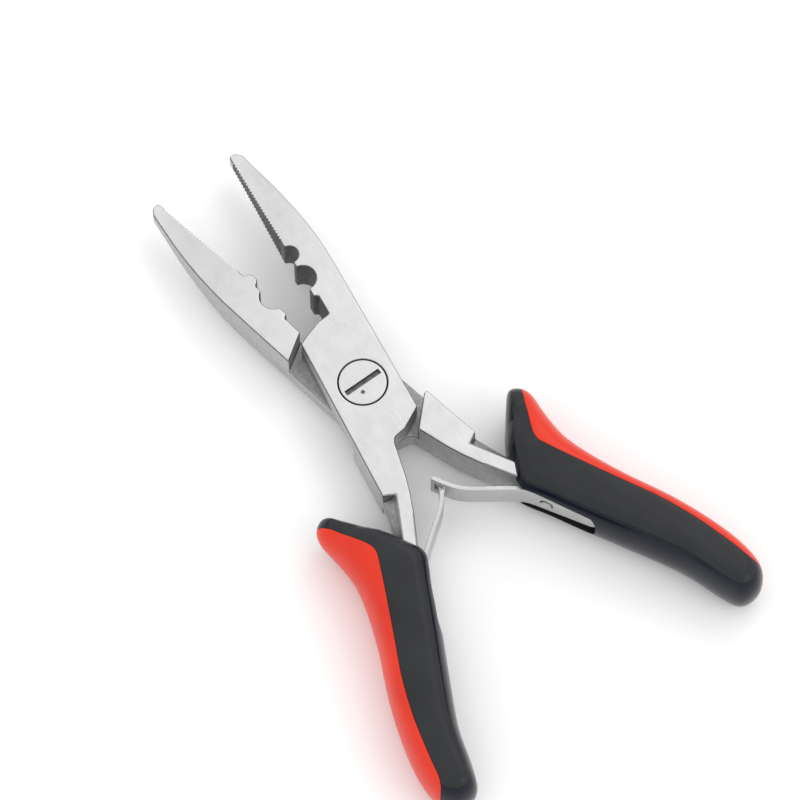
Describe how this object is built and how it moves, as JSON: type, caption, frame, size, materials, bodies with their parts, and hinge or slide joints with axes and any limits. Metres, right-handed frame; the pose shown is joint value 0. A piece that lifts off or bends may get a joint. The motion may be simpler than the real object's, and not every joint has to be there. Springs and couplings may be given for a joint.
{
  "type": "fishing pliers",
  "caption": "Long-nose fishing pliers with serrated jaws, crimping notches, a half-lap screw joint, interlocking leaf springs and two-colour moulded grips.",
  "frame": {"origin": "on the pivot axis, at the back end face of the pivot screw", "axes": "+X along the centreline to the jaw tips, +Z along the pivot to the slotted head; the jaws stand open"},
  "size_m": [0.1202, 0.0702, 0.012],
  "materials": {
    "lever_steel": "fine satin grind along the lever",
    "screw_steel": "satin, faced flush with the lever",
    "spring_steel": "satin spring strip with bright edges",
    "black_grip": "soft moulded plastic, satin flanks",
    "red_grip": "smooth semi-gloss moulded inlay"
  },
  "bodies": {
    "front_half": {"front_lever": "lever_steel", "front_grip_body": "black_grip", "front_grip_inlay": "red_grip", "front_spring_rivet": "spring_steel"},
    "back_half": {"back_lever": "lever_steel", "pivot_screw": "screw_steel", "back_grip_body": "black_grip", "back_grip_inlay": "red_grip", "back_spring_rivet": "spring_steel"},
    "front_spring": {"front_leaf_spring": "spring_steel"},
    "back_spring": {"back_leaf_spring": "spring_steel"}
  },
  "joints": [
    {"name": "jaw_pivot", "type": "hinge", "parent": "front_half", "child": "back_half", "pos_m": [0, 0, 0.0041], "axis": [0, 0, 1], "range_deg": [-17, 0], "stiffness_Nm_per_rad": 0.8, "springref_deg": 8.59},
    {"name": "front_spring_flex", "type": "hinge", "parent": "front_half", "child": "front_spring", "pos_m": [-0.03106, 0.00869, 0.0041], "axis": [0, 0, 1], "range_deg": [0, 17.5], "deforming": ["front_leaf_spring"]},
    {"name": "back_spring_flex", "type": "hinge", "parent": "back_half", "child": "back_spring", "pos_m": [-0.03106, -0.00869, 0.0041], "axis": [0, 0, 1], "range_deg": [-17.5, 0], "deforming": ["back_leaf_spring"]}
  ],
  "couplings": [
    {"joint": "front_spring_flex", "follows": "jaw_pivot", "ratio": -1.02},
    {"joint": "back_spring_flex", "follows": "jaw_pivot", "ratio": 1.02}
  ]
}
